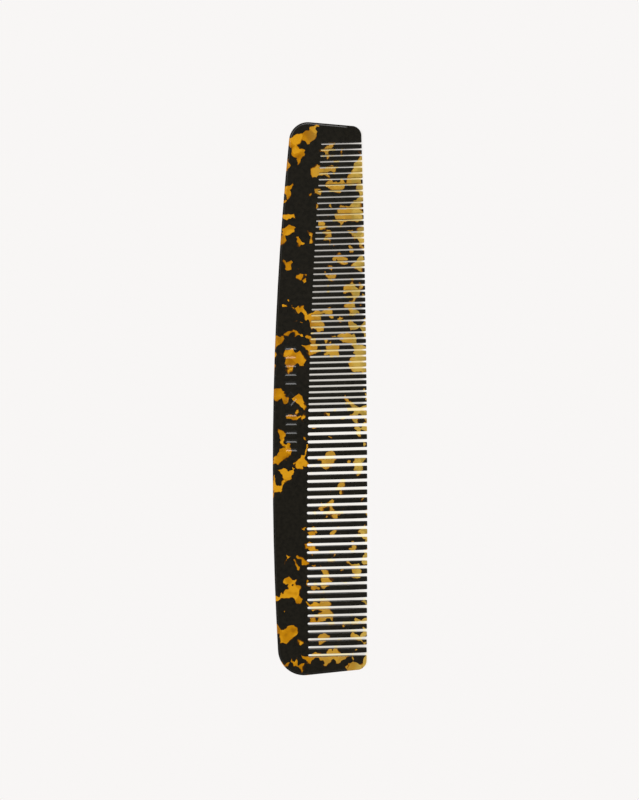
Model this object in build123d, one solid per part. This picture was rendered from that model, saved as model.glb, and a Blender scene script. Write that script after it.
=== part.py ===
from build123d import *
import os
from itertools import pairwise
from math import asin, copysign, degrees, sqrt

# A flat dressing comb sawn from one sheet of tortoiseshell acetate, lying on its face.
# X runs across the comb from the back to the tooth tips, Y along it toward the fine teeth and Z
# through the sheet. The origin is on the resting face, under the middle of the comb's box.
# All lengths are in millimetres and angles in degrees.

# The sheet and its outline: two long shallow curves joined by two slanted ends
comb_width = 32.72
sheet_thickness = 4.0
back_radius = 1130.0
back_crown_y = -34.4
tips_radius = 4370.0
fine_end_back_y = 95.95
fine_end_tips_y = 93.6
coarse_end_back_y = -96.2
coarse_end_tips_y = -93.35
fine_back_corner_round = 6.5
coarse_back_corner_round = 9.0
tips_corner_round = 3.3
face_edge_round = 1.1

# Toward the tooth tips both faces slope down to a thin, softly rounded edge
bevel_length = 5.1
tip_thickness = 1.2
shoulder_radius = 6.0
tip_edge_round = 0.45

# The saw cuts between the teeth run in from the tips to a long curve, the root line
root_radius = 1850.0
root_crown_x = -4.84
root_crown_y = -65.3
cut_lean = 0.86
cut_lean_pivot_x = 5.5
fine_cuts = 45
fine_pitch = 2.035
fine_gap = 0.6
coarse_cuts = 32
coarse_pitch = 2.725
coarse_gap = 1.0
last_fine_cut_y = -1.75
changeover_pitch = 2.13
tooth_edge_round = 0.25

# The teeth and the end guards are parted from the spine just past the round ends of the cuts
parting_offset = 0.7

# A plain ornament pressed into the spine with sloping walls: a lozenge between rows of short bars
lozenge_width = 4.2
lozenge_length = 5.2
bar_length = 4.0
bar_width = 1.05
bar_pitch = 3.0
bars_each_side = 5
first_bar_y = 5.5
ornament_depth = 0.25
ornament_wall_lean = 62.0

# How far the shapes that trim one another run past or stay inside each other, so that no two of
# their walls lie on the same surface
overshoot = 5.0
wall_inset = 0.02


def bow(radius, distance):
    """How far an arc has fallen away from its crown at a distance along it."""
    return radius - sqrt(radius**2 - distance**2)


def back_x(y):
    return -comb_width / 2 + bow(back_radius, y - back_crown_y)


def tips_x(y):
    return comb_width / 2 - bow(tips_radius, y)


def root_x(y):
    return root_crown_x + bow(root_radius, y - root_crown_y)


def cut_places():
    """Each saw cut's Y and width, from the coarse end to the fine end."""
    first_coarse_cut_y = last_fine_cut_y - changeover_pitch
    coarse = [(first_coarse_cut_y - i * coarse_pitch, coarse_gap) for i in range(coarse_cuts)]
    fine = [(last_fine_cut_y + i * fine_pitch, fine_gap) for i in range(fine_cuts)]
    return sorted(coarse + fine)


def leaned(shape, y):
    """A cut or tooth turned by the lean of the saw cuts about its own middle."""
    return shape.rotate(Axis((cut_lean_pivot_x, y, 0), (0, 0, 1)), cut_lean)


def rim_edges(walls):
    """The edges above and below some upright walls, without the upright ones between them."""
    edges = [edge for wall in walls for edge in wall.edges()]
    return [edge for edge in edges if round(abs(edge.tangent_at(0).Z)) == 0]


def end_corners(back_y, tips_y, inset, overrun):
    """Where one slanted end meets the back and the tips line, drawn in or carried on past the tips."""
    back = Vector(back_x(back_y) + inset, back_y - copysign(inset, back_y))
    tips = Vector(tips_x(tips_y), tips_y - copysign(inset, tips_y))
    return back, tips + (tips - back).normalized() * overrun


def outline(inset=0.0, overrun=0.0):
    """The comb's plan: a back and a tips line, both bowed outward, with four rounded corners."""
    fine_back, fine_tips = end_corners(fine_end_back_y, fine_end_tips_y, inset, overrun)
    coarse_back, coarse_tips = end_corners(coarse_end_back_y, coarse_end_tips_y, inset, overrun)
    back = ThreePointArc(coarse_back, (back_x(back_crown_y) + inset, back_crown_y), fine_back)
    tips = ThreePointArc(fine_tips, (tips_x(0) + overrun, 0), coarse_tips)
    fine_end = Line(fine_back, fine_tips)
    coarse_end = Line(coarse_tips, coarse_back)
    plan = make_face(back + fine_end + tips + coarse_end)
    corner_rounds = [
        (fine_back, fine_back_corner_round),
        (coarse_back, coarse_back_corner_round),
        (fine_tips, tips_corner_round),
        (coarse_tips, tips_corner_round),
    ]
    for corner, radius in corner_rounds:
        plan = fillet(plan.vertices().sort_by_distance(corner)[0], radius)
    return plan


def rounded_sheet():
    """A sheet with well rounded edges at the back and ends, which runs on past the tips."""
    sheet = extrude(outline(wall_inset, overshoot), sheet_thickness)
    lower = sheet.edges().filter_by_position(Axis.Z, 0, 0)
    upper = sheet.edges().filter_by_position(Axis.Z, sheet_thickness, sheet_thickness)
    return fillet(lower + upper, face_edge_round)


def tooth_zone():
    """Everything on the tips' side of the parting curve, which follows the root line."""
    end_y = fine_end_back_y + overshoot
    outer_x = comb_width / 2 + 2 * overshoot
    upper = (root_x(end_y) + parting_offset, end_y)
    crown = (root_crown_x + parting_offset, root_crown_y)
    lower = (root_x(-end_y) + parting_offset, -end_y)
    curve = ThreePointArc(lower, crown, upper)
    border = Polyline(upper, (outer_x, end_y), (outer_x, -end_y), lower)
    return extrude(make_face(curve + border), sheet_thickness)


def saw_cut(y, width):
    """One cut between two teeth: parallel sides, a round inner end and a slight lean."""
    inner_x = root_x(y) + width / 2
    outer_x = comb_width / 2 + overshoot
    sides = Pos((inner_x + outer_x) / 2, y) * Rectangle(outer_x - inner_x, width)
    inner_end = Pos(inner_x, y) * Circle(width / 2)
    return extrude(leaned(sides + inner_end, y), sheet_thickness)


def blade_section(tip_x):
    """The section across a tooth: flat faces, soft shoulders and slopes that meet past the tip."""
    half_thickness = sheet_thickness / 2
    drop = half_thickness - tip_thickness / 2
    inner_x = -comb_width / 2 - overshoot
    shoulder_x = tip_x - bevel_length
    apex_x = shoulder_x + bevel_length * half_thickness / drop
    lower_shoulder = (shoulder_x, 0)
    upper_shoulder = (shoulder_x, sheet_thickness)
    border = Polyline(
        (inner_x, 0),
        lower_shoulder,
        (apex_x, half_thickness),
        upper_shoulder,
        (inner_x, sheet_thickness),
        close=True,
    )
    section = make_face(border)
    for shoulder in (lower_shoulder, upper_shoulder):
        section = fillet(section.vertices().sort_by_distance(shoulder)[0], shoulder_radius)
    return section


def tumbled(walls):
    """A blade with the edges of its sawn walls rounded, all but the innermost, where it is parted."""
    edges = [edge for wall in walls for edge in wall.edges().sort_by(Axis.X)[1:]]
    return fillet(edges, tooth_edge_round)


def tooth(low_y, high_y, zone):
    """One tooth, between the walls of two neighbouring cuts."""
    middle_y = (low_y + high_y) / 2
    tip_x = tips_x(middle_y)
    up_to_tip = Pos(tip_x - comb_width / 2, sheet_thickness / 2) * Rectangle(comb_width, sheet_thickness)
    section = blade_section(tip_x) & up_to_tip
    section = fillet(section.vertices().sort_by(Axis.X)[-2:], tip_edge_round)
    blade = extrude(Plane.XZ * section, (high_y - low_y) / 2, both=True)
    by_width = blade.faces().sort_by(Axis.Y)
    blade = Pos(0, middle_y) * tumbled([by_width[0], by_width[-1]])
    return (leaned(blade, middle_y) & zone).solid()


def teeth(zone):
    """All the teeth, from the coarse end to the fine end."""
    walls = [
        (low_y + low_gap / 2, high_y - high_gap / 2)
        for (low_y, low_gap), (high_y, high_gap) in pairwise(cut_places())
    ]
    return [tooth(low_y, high_y, zone) for low_y, high_y in walls]


def end_guard(cut_y, cut_width, zone):
    """The broad end tooth outside the outermost cut at one end."""
    tips_centre = Axis((comb_width / 2 - tips_radius, 0, 0), (0, 0, 1))
    comb_length = fine_end_back_y - coarse_end_back_y
    wedge = extrude(Plane.XZ * blade_section(comb_width / 2), comb_length, both=True)
    wedge = wedge.rotate(tips_centre, degrees(asin(cut_y / tips_radius)))
    bevelled_sheet = extrude(outline(), sheet_thickness) & wedge
    outer_walls = [face for face in bevelled_sheet.faces() if round(face.normal_at().Z, 3) == 0]
    bevelled_sheet = fillet(rim_edges(outer_walls), tip_edge_round)
    blank = bevelled_sheet & rounded_sheet() & zone
    outward = Axis((0, 0, 0), (0, copysign(1, cut_y), 0))
    guard = (blank - saw_cut(cut_y, cut_width)).solids().sort_by(outward)[-1]
    sawn_wall = guard.faces().sort_by(outward)[0]
    return tumbled([sawn_wall]).solids().sort_by(outward)[-1]


def ornament():
    """A lozenge and bars along the middle of the spine, narrowing as they go down into its face."""
    centre_x = (back_x(0) + root_x(0)) / 2
    half_width = lozenge_width / 2
    half_length = lozenge_length / 2
    corners = [(half_width, 0), (0, half_length), (-half_width, 0), (0, -half_length)]
    shapes = [make_face(Polyline(*corners, close=True))]
    for i in range(bars_each_side):
        bar_y = first_bar_y + i * bar_pitch
        shapes += [Pos(0, side * bar_y) * Rectangle(bar_length, bar_width) for side in (1, -1)]
    face_place = Pos(centre_x, 0, sheet_thickness)
    return [extrude(face_place * shape, -ornament_depth, taper=ornament_wall_lean) for shape in shapes]


def spine(zone):
    """The long solid back, with the round inner ends of the saw cuts along its edge."""
    cuts = Part() + [saw_cut(y, width) for y, width in cut_places()]
    body = rounded_sheet() - zone - cuts
    cut_walls = [face for face in body.faces() if cuts.is_inside(face.center())]
    body = fillet(rim_edges(cut_walls), tooth_edge_round)
    return (body - ornament()).solid()


def comb_regions():
    """The comb's regions by name, each as a list of solids, touching along the parting curve."""
    zone = tooth_zone()
    coarse_teeth_count = coarse_cuts - 1
    all_teeth = teeth(zone)
    return {
        "spine": [spine(zone)],
        "fine_end_guard": [end_guard(*cut_places()[-1], zone)],
        "coarse_end_guard": [end_guard(*cut_places()[0], zone)],
        "fine_teeth": all_teeth[coarse_teeth_count:],
        "coarse_teeth": all_teeth[:coarse_teeth_count],
    }


os.makedirs("parts", exist_ok=True)
for name, solids in comb_regions().items():
    export_step(Compound(solids), f"parts/{name}.step")
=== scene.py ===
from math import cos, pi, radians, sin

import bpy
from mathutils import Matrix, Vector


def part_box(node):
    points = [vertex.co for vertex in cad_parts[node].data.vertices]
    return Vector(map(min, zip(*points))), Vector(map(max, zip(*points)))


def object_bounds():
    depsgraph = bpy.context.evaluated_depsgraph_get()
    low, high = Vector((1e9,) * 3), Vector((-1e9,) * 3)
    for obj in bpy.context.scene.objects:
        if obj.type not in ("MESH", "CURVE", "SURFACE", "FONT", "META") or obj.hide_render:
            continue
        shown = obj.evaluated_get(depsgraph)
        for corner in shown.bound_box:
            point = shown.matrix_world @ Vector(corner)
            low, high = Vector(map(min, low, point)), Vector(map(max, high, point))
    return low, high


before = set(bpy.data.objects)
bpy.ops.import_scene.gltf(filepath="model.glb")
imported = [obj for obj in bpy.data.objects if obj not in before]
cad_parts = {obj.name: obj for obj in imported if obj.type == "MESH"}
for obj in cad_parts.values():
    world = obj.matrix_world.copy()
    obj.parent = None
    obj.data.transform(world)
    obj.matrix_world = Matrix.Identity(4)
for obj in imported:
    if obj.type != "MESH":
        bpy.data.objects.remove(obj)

# A tortoiseshell acetate dressing comb, lying face up on a plain pale studio floor. X runs from the
# comb's back to its tooth tips, Y along it toward the fine teeth and Z up. Lengths are in metres, but
# the camera's sensor and the acetate's pattern are in millimetres. Angles are in degrees. A pair of
# numbers whose name ends in fade says where a gradual change starts and where it ends.

cad_low, cad_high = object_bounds()
comb_centre = (cad_low + cad_high) / 2
face_z = cad_high.z
teeth_low_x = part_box("fine_teeth")[0].x
last_coarse_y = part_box("coarse_teeth")[1].y

# The camera looks straight down, from well above the comb's middle
camera_height = 0.830
camera_offset = Vector((0.00006, -0.00048))
camera_turn = 0.57
sensor_width = 36.0
view_length = 0.2754

# The floor, and the small sheet of it under the teeth, which carries painted shade and painted light
# between the teeth, with how bright they show in the comb's gloss
floor_size = 6.0
floor_clearance = 0.00005
shade_margin = 0.002
floor_colour = (0.939, 0.922, 0.913, 1)
mirrored_floor_light = 0.08
mirrored_gap_share = 0.60

# Painted shade between the teeth: the floor's brightness there, as a share of the open floor's; and
# painted light there: a warm tint, and amber light under amber chips
changeover_fade = (last_coarse_y - 0.001, last_coarse_y + 0.002)
coarse_end_gap_light = 0.79
coarse_gap_light = 0.98
coarse_gap_fade = (-0.085, -0.045)
first_fine_gap_light = 0.71
fine_gap_light = 0.54
fine_gap_fade = (0.004, 0.030)
fine_end_gap_rise = 0.14
fine_end_gap_fade = (0.066, 0.082)
fine_gap_tint = (0.955, 0.910, 0.840, 1)
coarse_gap_tint = (0.955, 0.920, 0.860, 1)
# Painted amber light: the floor's tint under amber chips, as light through the amber teeth would cast
fine_painted_amber_light = (1.25, 0.98, 0.43, 1)
coarse_painted_amber_light = (1.10, 0.98, 0.64, 1)
painted_amber_light_fade = (0.3, 0.8)
tint_level = 0.75

# The sky: dark overhead, where the camera is, a bright ring all round and dim along the horizon. In
# the comb's gloss it is dimmed, except toward one bearing, which lies past the fine teeth's end. The
# unflagged fade is in cosines of the angle from that bearing.
overhead_light = 0.03
ring_light = 1.45
horizon_light = 0.12
overhead_fade = (28, 52)
horizon_fade = (64, 76)
flagged_share = 0.18
unflagged_bearing = 115
unflagged_fade = (0.45, 0.80)

# Two soft boxes, which brighten the rounded edges at the fine teeth's end and toward the back
softbox_tilt = 56
softbox_distance = 2.0
softboxes = [
    {"name": "end_light", "toward": 95, "size": 0.7, "radiance": 3.0},
    {"name": "back_light", "toward": 150, "size": 0.5, "radiance": 2.0},
]

# Where the acetate's pattern changes across and along the comb, in millimetres
millimetres = 1000.0
bevel_length = 5.1
tips_x = cad_high.x * millimetres
bevel_x = tips_x - bevel_length
root_x = teeth_low_x * millimetres
black_tips_fade = (bevel_x - 1, tips_x - 2)
amber_tips_fade = (bevel_x - 2, tips_x - 2.5)
amber_teeth_fade = (root_x - 1, root_x + 1)
pale_teeth_fade = (root_x - 2, root_x + 5)
# Where a painted sheen, the pale reflection on the bevels, lightens the amber
painted_sheen_fade = (bevel_x - 0.5, bevel_x + 1.5)
toward_fine_fade = (-12, 8)
fine_end_fade = (78, 88)

# The sizes of the chips, and how the pattern is shifted to make one comb's own
amber_chip_size = 3.7
black_chip_size = 3.5
amber_chip_shift = (-44.0, 62.0, 31.0)
black_chip_shift = (75.0, 24.0, -15.0)

# How a chip's outline is pushed about: broad and fine noises, each as its scale and its reach
amber_broad_warp = (0.30, 1.4)
amber_fine_warp = (0.85, 0.30)
black_broad_warp = (0.40, 1.2)
black_fine_warp = (0.95, 0.25)
softness_scale = 0.35
softness_fade = (0.35, 0.7)
softness_range = (0.07, 0.24)

# The shares of chips that are amber, and of those over them that are black
spine_amber_share = 0.36
fine_amber_share = 0.30
coarse_amber_share = 0.25
fine_tips_amber_share = 0.66
coarse_tips_amber_share = 0.45
fine_end_tips_share = 0.4
black_chip_share = 0.42
black_tips_share = 0.32
patch_size = 22
patch_fade = (0.3, 0.7)
patch_range = (0.5, 1.5)

# How black chips cover amber ones, and where amber glows from under a black chip's edge
covered_fade = (0.15, 0.85)
under_edge_fade = (0.5, 1.0)
glowing_amber_fade = (0.5, 0.9)
glowing_tone_fade = (0.6, 0.9)

# The acetate's colours, and where each begins and ends on the way into an amber chip
near_black = (0.0218, 0.0192, 0.0140, 1)
soft_black = (0.0142, 0.0130, 0.0100, 1)
brown_halo = (0.085, 0.034, 0.006, 1)
olive_halo = (0.070, 0.044, 0.008, 1)
deep_orange = (0.40, 0.135, 0.002, 1)
dark_gold = (0.46, 0.178, 0.004, 1)
amber_gold = (0.66, 0.273, 0.005, 1)
bright_gold = (0.88, 0.405, 0.014, 1)
pale_teeth_amber = (0.52, 0.340, 0.062, 1)
# The amber on the bevels, paled by a painted sheen
pale_tip_amber_sheen = (0.74, 0.50, 0.100, 1)
olive_tip_amber_sheen = (0.46, 0.32, 0.060, 1)
brown_fade = (0.05, 0.46)
orange_fade = (0.40, 0.54)
gold_fade = (0.50, 0.78)
drift_scale = 0.28
tone_share = 0.35
amber_gold_fade = (0.38, 0.60)
bright_gold_fade = (0.62, 0.86)
# The tones of the painted sheen on the bevels
tip_sheen_tone_fade = (0.45, 0.85)
smoke_scale = 0.8
smoke_fade = (0.25, 0.75)
olive_share = 0.5
pale_teeth_share = 0.55
# How strongly the painted sheen pales the amber on the bevels
painted_sheen_share = 0.8

# The acetate's polish: its gloss, its sawn walls and the slight relief of both
gloss_scale = 0.6
gloss_fade = (0.3, 0.8)
gloss_range = (0.05, 0.12)
wall_fade = (0.15, 0.45)
wall_roughness = 0.30
acetate_ior = 1.48
swirl_scale = 0.9
relief_strength = 0.03
relief_height = 0.0002
saw_mark_height = 3.0
saw_mark_stretch = (0.25, 1.0, 7.0)


class Graph:
    """A node tree, with short calls that add a node and wire up its inputs."""

    def __init__(self, tree):
        tree.nodes.clear()
        self.tree = tree

    def add(self, kind, inputs=None, **settings):
        """Add one node, with its settings and its inputs as numbers, colours or other sockets."""
        node = self.tree.nodes.new(kind)
        for name, value in settings.items():
            setattr(node, name, value)
        for key, value in (inputs or {}).items():
            self.wire(node.inputs[key], value)
        return node

    def wire(self, socket, value):
        if isinstance(value, bpy.types.NodeSocket):
            self.tree.links.new(value, socket)
        else:
            socket.default_value = value

    def math(self, operation, *values):
        return self.add("ShaderNodeMath", dict(enumerate(values)), operation=operation).outputs[0]

    def vector(self, operation, first, second):
        key = "Scale" if operation == "SCALE" else 1
        node = self.add("ShaderNodeVectorMath", {0: first, key: second}, operation=operation)
        return node.outputs["Vector"]

    def part(self, place, axis):
        """One coordinate of a place or direction."""
        return self.add("ShaderNodeSeparateXYZ", {0: place}).outputs[axis]

    def fade(self, value, start, end, low=0.0, high=1.0):
        """Go smoothly from low to high as a value goes from start to end."""
        inputs = {"Value": value, "From Min": start, "From Max": end, "To Min": low, "To Max": high}
        node = self.add("ShaderNodeMapRange", inputs, interpolation_type="SMOOTHSTEP")
        return node.outputs["Result"]

    def blend(self, factor, first, second):
        """Go from one number to another as the factor goes from 0 to 1."""
        return self.add("ShaderNodeMix", {0: factor, 2: first, 3: second}).outputs[0]

    def mix(self, factor, first, second):
        """Go from one colour to another as the factor goes from 0 to 1."""
        node = self.add("ShaderNodeMix", {0: factor, 6: first, 7: second}, data_type="RGBA")
        return node.outputs[2]

    def noise(self, place, scale, detail=2.0, output="Fac"):
        inputs = {"Vector": place, "Scale": scale, "Detail": detail}
        return self.add("ShaderNodeTexNoise", inputs).outputs[output]

    def warp(self, place, scale, reach):
        """Push a place about by a soft noise, by up to about its reach."""
        noise = self.noise(place, scale, detail=1.0, output="Color")
        push = self.vector("SUBTRACT", noise, (0.5, 0.5, 0.5))
        return self.vector("ADD", place, self.vector("SCALE", push, 2 * reach))


def new_material(name):
    """A new material, and its empty node tree."""
    material = bpy.data.materials.new(name)
    material.use_nodes = True
    return material, Graph(material.node_tree)


def chip_cells(graph, place, shift, size, share_at, softness):
    """How deep inside a chosen chip a place is: 0 outside, 0.5 at a chip's edge and 1 inside.

    The chips are cells of a Voronoi pattern, shifted to make each layer its own. A cell is chosen when
    its random number is under the share wanted at its own centre, and the two nearest cells are
    blended where they meet. The second result is the nearest cell's own random tone.
    """
    chosen, distance, tone = [], [], []
    for feature in ("F1", "F2"):
        shifted = graph.vector("ADD", place, shift)
        cells = graph.add("ShaderNodeTexVoronoi", {"Vector": shifted, "Scale": 1 / size}, feature=feature)
        random = graph.add("ShaderNodeSeparateColor", {0: cells.outputs["Color"]}).outputs
        centre = graph.vector("SUBTRACT", cells.outputs["Position"], shift)
        chosen.append(graph.math("LESS_THAN", random[0], share_at(graph, centre)))
        distance.append(cells.outputs["Distance"])
        tone.append(random[1])
    gap = graph.math("SUBTRACT", distance[1], distance[0])
    own_weight = graph.fade(gap, graph.math("MULTIPLY", softness, -1.0), softness)
    own = graph.math("MULTIPLY", chosen[0], own_weight)
    other = graph.math("MULTIPLY", chosen[1], graph.math("SUBTRACT", 1.0, own_weight))
    return graph.math("ADD", own, other), tone[0]


def black_share(graph, place):
    """The share of chips in the layer above that are black: fewest along the teeth's tips."""
    x = graph.part(place, "X")
    return graph.fade(x, *black_tips_fade, black_chip_share, black_tips_share)


def amber_share(graph, place):
    """The share of chips that are amber: most along the fine teeth's tips, fewest in the coarse teeth."""
    x = graph.part(place, "X")
    y = graph.part(place, "Y")
    toward_fine = graph.fade(y, *toward_fine_fade)
    in_teeth = graph.fade(toward_fine, 0, 1, coarse_amber_share, fine_amber_share)
    in_tips = graph.fade(toward_fine, 0, 1, coarse_tips_amber_share, fine_tips_amber_share)
    in_tips = graph.math("MULTIPLY", in_tips, graph.fade(y, *fine_end_fade, 1.0, fine_end_tips_share))
    share = graph.blend(graph.fade(x, *amber_teeth_fade), spine_amber_share, in_teeth)
    share = graph.blend(graph.fade(x, *amber_tips_fade), share, in_tips)
    patch = graph.noise(place, 1 / patch_size, detail=0.0)
    return graph.math("MULTIPLY", share, graph.fade(patch, *patch_fade, *patch_range))


def chip_layers(graph, place):
    """Angular amber chips, and black chips that lie over them and bite into their outlines.

    The results are how deep inside clear amber a place is, how much amber glows from under a black
    chip's edge, and the amber chip's own random tone.
    """
    softness = graph.noise(place, softness_scale, detail=0.0)
    softness = graph.fade(softness, *softness_fade, *softness_range)
    loose = graph.warp(graph.warp(place, *amber_broad_warp), *amber_fine_warp)
    amber, tone = chip_cells(graph, loose, amber_chip_shift, amber_chip_size, amber_share, softness)
    loose = graph.vector("ADD", place, black_chip_shift)
    loose = graph.warp(graph.warp(loose, *black_broad_warp), *black_fine_warp)
    loose = graph.vector("SUBTRACT", loose, black_chip_shift)
    covered, black_tone = chip_cells(
        graph, loose, black_chip_shift, black_chip_size, black_share, softness
    )
    depth = graph.math("MULTIPLY", amber, graph.fade(covered, *covered_fade, 1.0, 0.0))
    near_edge = graph.fade(covered, *under_edge_fade, 1.0, 0.0)
    under_edge = graph.math("MULTIPLY", near_edge, graph.fade(amber, *glowing_amber_fade))
    glow = graph.math("MULTIPLY", under_edge, graph.fade(black_tone, *glowing_tone_fade))
    return depth, glow, tone


def acetate_black(graph, place, glow):
    """Faintly smoky black, with amber glowing from under the edges of some black chips."""
    smoke = graph.fade(graph.noise(place, smoke_scale, detail=3.0), *smoke_fade)
    black = graph.mix(smoke, near_black, soft_black)
    return graph.mix(graph.math("MULTIPLY", glow, olive_share), black, olive_halo)


def acetate_gold(graph, place, tone):
    """The clear amber inside a chip: its own gold, paler in the teeth, and palest on the bevels, where a
    painted sheen pales it.
    """
    x = graph.part(place, "X")
    toward_teeth = graph.fade(x, *pale_teeth_fade)
    toward_tips = graph.fade(x, *painted_sheen_fade)
    drift = graph.noise(place, drift_scale, detail=1.0)
    level = graph.math("ADD", graph.math("MULTIPLY", tone, tone_share), drift)
    gold = graph.mix(graph.fade(level, *amber_gold_fade), dark_gold, amber_gold)
    gold = graph.mix(graph.fade(level, *bright_gold_fade), gold, bright_gold)
    gold = graph.mix(graph.math("MULTIPLY", toward_teeth, pale_teeth_share), gold, pale_teeth_amber)
    # Painted sheen: the bevels' amber is paled as if by reflected light
    tip_amber_sheen = graph.mix(graph.fade(level, *tip_sheen_tone_fade), olive_tip_amber_sheen, pale_tip_amber_sheen)
    return graph.mix(graph.math("MULTIPLY", toward_tips, painted_sheen_share), gold, tip_amber_sheen)


def acetate_colour(graph, place):
    """Black through a brown halo and deep orange to gold, on the way into an amber chip."""
    depth, glow, tone = chip_layers(graph, place)
    black = acetate_black(graph, place, glow)
    colour = graph.mix(graph.fade(depth, *brown_fade), black, brown_halo)
    colour = graph.mix(graph.fade(depth, *orange_fade), colour, deep_orange)
    return graph.mix(graph.fade(depth, *gold_fade), colour, acetate_gold(graph, place, tone))


def acetate_polish(graph, place):
    """Slight swirls in the gloss, and duller upright walls with fine saw marks.

    The results are the roughness and the bumped normal.
    """
    normal = graph.add("ShaderNodeNewGeometry").outputs["Normal"]
    upright = graph.math("ABSOLUTE", graph.part(normal, "Z"))
    wall = graph.fade(upright, *wall_fade, 1.0, 0.0)
    gloss = graph.fade(graph.noise(place, gloss_scale, detail=3.0), *gloss_fade, *gloss_range)
    roughness = graph.math("ADD", gloss, graph.math("MULTIPLY", wall, wall_roughness))
    swirl = graph.noise(place, swirl_scale)
    stretched = graph.vector("MULTIPLY", place, saw_mark_stretch)
    saw_marks = graph.noise(stretched, 1.0, detail=3.0)
    saw_marks = graph.math("MULTIPLY", graph.math("MULTIPLY", saw_marks, wall), saw_mark_height)
    height = graph.math("ADD", swirl, saw_marks)
    relief = {"Height": height, "Strength": relief_strength, "Distance": relief_height}
    return roughness, graph.add("ShaderNodeBump", relief).outputs["Normal"]


def tortoiseshell():
    """Polished acetate: near-black sheet with angular amber chips that run right through it."""
    material, graph = new_material("tortoiseshell_acetate_polished")
    position = graph.add("ShaderNodeTexCoord").outputs["Object"]
    place = graph.vector("SCALE", position, millimetres)
    colour = acetate_colour(graph, place)
    roughness, normal = acetate_polish(graph, place)
    inputs = {"Base Color": colour, "Roughness": roughness, "IOR": acetate_ior, "Normal": normal}
    shader = graph.add("ShaderNodeBsdfPrincipled", inputs)
    graph.add("ShaderNodeOutputMaterial", {"Surface": shader.outputs[0]})
    return material


def painted_gap_light(graph, y):
    """Painted shade: the floor's brightness between the teeth, least among the fine ones."""
    in_fine = graph.fade(y, *changeover_fade)
    fine = graph.fade(y, *fine_gap_fade, first_fine_gap_light, fine_gap_light)
    fine = graph.math("ADD", fine, graph.fade(y, *fine_end_gap_fade, 0.0, fine_end_gap_rise))
    coarse = graph.fade(y, *coarse_gap_fade, coarse_end_gap_light, coarse_gap_light)
    return graph.blend(in_fine, coarse, fine)


def painted_gap_tint(graph, place):
    """Painted light in the floor's tint between the teeth: a little warm, and yellow beside amber ones,
    as light through the amber would be.
    """
    in_fine = graph.fade(graph.part(place, "Y"), *changeover_fade)
    level = (0, 0, tint_level * millimetres * face_z)
    above = graph.vector("ADD", graph.vector("SCALE", place, millimetres), level)
    amber = graph.fade(chip_layers(graph, above)[0], *painted_amber_light_fade)
    coarse = graph.mix(amber, coarse_gap_tint, coarse_painted_amber_light)
    fine = graph.mix(amber, fine_gap_tint, fine_painted_amber_light)
    return graph.mix(in_fine, coarse, fine)


def within(graph, value, low, high, margin):
    """1 between two limits, and down to 0 at them over a margin."""
    past_low = graph.fade(value, low, low + margin)
    before_high = graph.fade(value, high - margin, high, 1, 0)
    return graph.math("MULTIPLY", past_low, before_high)


def self_lit(graph, colour, brightness, mirrored_brightness):
    """Finish a material that shines in its own right, and differently in the comb's gloss."""
    in_gloss = graph.add("ShaderNodeLightPath").outputs["Is Glossy Ray"]
    strength = graph.blend(in_gloss, brightness, mirrored_brightness)
    glow = graph.add("ShaderNodeEmission", {"Color": colour, "Strength": strength})
    graph.add("ShaderNodeOutputMaterial", {"Surface": glow.outputs[0]})


def painted_gap_floor_material(low, high):
    """The floor under the teeth: dimmer and warmer in the gaps with painted shade and painted light, and
    open floor toward its border.
    """
    material, graph = new_material("painted_gap_floor")
    place = graph.add("ShaderNodeNewGeometry").outputs["Position"]
    y = graph.part(place, "Y")
    across = within(graph, graph.part(place, "X"), low.x, high.x, shade_margin)
    along = within(graph, y, low.y, high.y, shade_margin)
    inside = graph.math("MULTIPLY", across, along)
    # Painted shade: the floor is dimmer between the teeth
    light = painted_gap_light(graph, y)
    brightness = graph.blend(inside, 1.0, light)
    mirrored_gap = graph.math("MULTIPLY", light, mirrored_gap_share)
    mirrored = graph.blend(inside, mirrored_floor_light, mirrored_gap)
    # Painted light: a warm tint between the teeth, and amber light under amber chips
    tint = graph.mix(inside, floor_colour, painted_gap_tint(graph, place))
    self_lit(graph, tint, brightness, mirrored)
    return material


def floor_material():
    """A plain pale surface. In the comb's gloss it is dim, like a floor flagged with dark cards."""
    material, graph = new_material("pale_floor")
    self_lit(graph, floor_colour, 1.0, mirrored_floor_light)
    return material


def add_sheet(name, low, high, z, material):
    """A level rectangle of floor between two corners."""
    corners = [(low.x, low.y, z), (high.x, low.y, z), (high.x, high.y, z), (low.x, high.y, z)]
    mesh = bpy.data.meshes.new(name)
    mesh.from_pydata(corners, [], [(0, 1, 2, 3)])
    mesh.materials.append(material)
    sheet = bpy.data.objects.new(name, mesh)
    bpy.context.scene.collection.objects.link(sheet)


def add_floor():
    """The studio floor, and on it a small sheet with painted shade and painted light between the teeth,
    both of them under the comb.
    """
    half = Vector((floor_size / 2, floor_size / 2))
    floor_z = cad_low.z - floor_clearance
    add_sheet("studio_floor", -half, half, floor_z, floor_material())
    low = Vector((teeth_low_x - shade_margin, cad_low.y + shade_margin))
    high = Vector((cad_high.x, cad_high.y - shade_margin))
    sheet_z = floor_z + floor_clearance / 2
    add_sheet("painted_gap_floor", low, high, sheet_z, painted_gap_floor_material(low, high))


def ring_of_light(graph, direction):
    """The sky's brightness by its angle from straight overhead."""
    from_vertical = graph.math("ARCCOSINE", graph.part(direction, "Z"))
    overhead_start, overhead_end = [radians(angle) for angle in overhead_fade]
    horizon_start, horizon_end = [radians(angle) for angle in horizon_fade]
    ring = graph.fade(from_vertical, overhead_start, overhead_end, overhead_light, ring_light)
    lowest_share = horizon_light / ring_light
    above_horizon = graph.fade(from_vertical, horizon_start, horizon_end, 1.0, lowest_share)
    return graph.math("MULTIPLY", ring, above_horizon)


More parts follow.
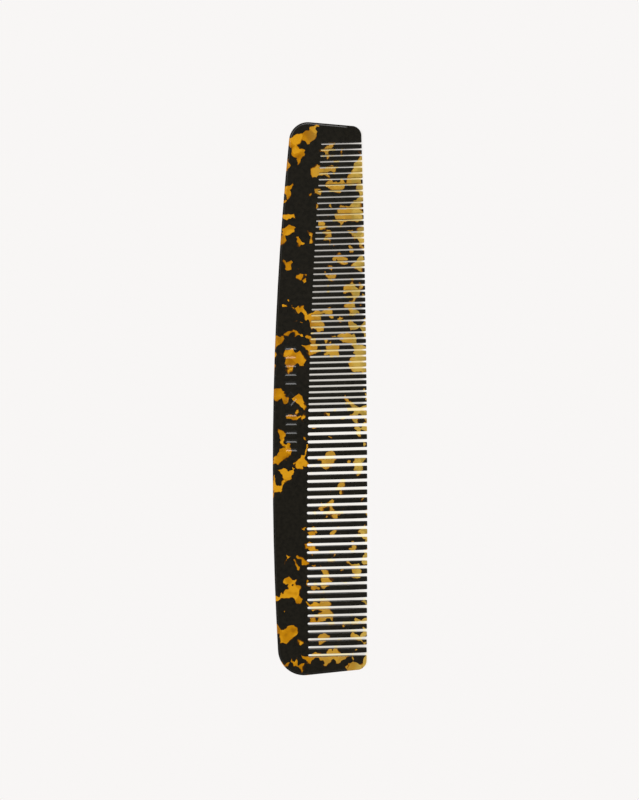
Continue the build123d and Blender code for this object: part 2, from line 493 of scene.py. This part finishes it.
def unflagged(graph, direction):
    """The share of the sky's light that the comb's gloss shows, by its bearing."""
    sideways = graph.vector("MULTIPLY", direction, (1.0, 1.0, 0.0))
    bearing = graph.add("ShaderNodeVectorMath", {0: sideways}, operation="NORMALIZE").outputs[0]
    way = (cos(radians(unflagged_bearing)), sin(radians(unflagged_bearing)), 0.0)
    dot = graph.add("ShaderNodeVectorMath", {0: bearing, 1: way}, operation="DOT_PRODUCT")
    return graph.fade(dot.outputs["Value"], *unflagged_fade, flagged_share, 1.0)


def add_sky():
    """Light from all round, dimmed in the comb's gloss, and the floor's colour to the camera."""
    world = bpy.data.worlds.new("studio")
    bpy.context.scene.world = world
    world.use_nodes = True
    graph = Graph(world.node_tree)
    direction = graph.add("ShaderNodeTexCoord").outputs["Generated"]
    seen_by = graph.add("ShaderNodeLightPath").outputs
    around = ring_of_light(graph, direction)
    in_gloss = graph.math("MULTIPLY", around, unflagged(graph, direction))
    strength = graph.blend(seen_by["Is Glossy Ray"], around, in_gloss)
    strength = graph.blend(seen_by["Is Camera Ray"], strength, 1.0)
    tone = graph.mix(seen_by["Is Camera Ray"], (1, 1, 1, 1), floor_colour)
    background = graph.add("ShaderNodeBackground", {"Color": tone, "Strength": strength})
    graph.add("ShaderNodeOutputWorld", {"Surface": background.outputs[0]})


def add_softbox(name, toward, size, radiance):
    """A square soft light that faces the comb from a bearing round it."""
    light = bpy.data.lights.new(name, "AREA")
    light.shape = "SQUARE"
    light.size = size
    light.energy = radiance * pi * size**2
    lamp = bpy.data.objects.new(name, light)
    bearing = radians(toward)
    lean = radians(softbox_tilt)
    away = Vector((cos(bearing) * sin(lean), sin(bearing) * sin(lean), cos(lean)))
    lamp.location = comb_centre + away * softbox_distance
    lamp.rotation_mode = "QUATERNION"
    lamp.rotation_quaternion = away.to_track_quat("Z", "Y")
    lamp.visible_camera = False
    bpy.context.scene.collection.objects.link(lamp)


def add_camera():
    """A camera above the comb's middle that looks straight down."""
    camera = bpy.data.objects.new("camera", bpy.data.cameras.new("camera"))
    bpy.context.scene.collection.objects.link(camera)
    camera.location = (camera_offset.x, camera_offset.y, face_z + camera_height)
    camera.rotation_euler = (0, 0, -radians(camera_turn))
    camera.data.sensor_width = sensor_width
    camera.data.lens = sensor_width * camera_height / view_length
    bpy.context.scene.camera = camera


acetate = tortoiseshell()
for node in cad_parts.values():
    for material_slot in node.material_slots:
        material_slot.material = acetate

add_floor()
add_sky()
for softbox in softboxes:
    add_softbox(**softbox)
add_camera()
bpy.context.scene.view_settings.view_transform = "Standard"
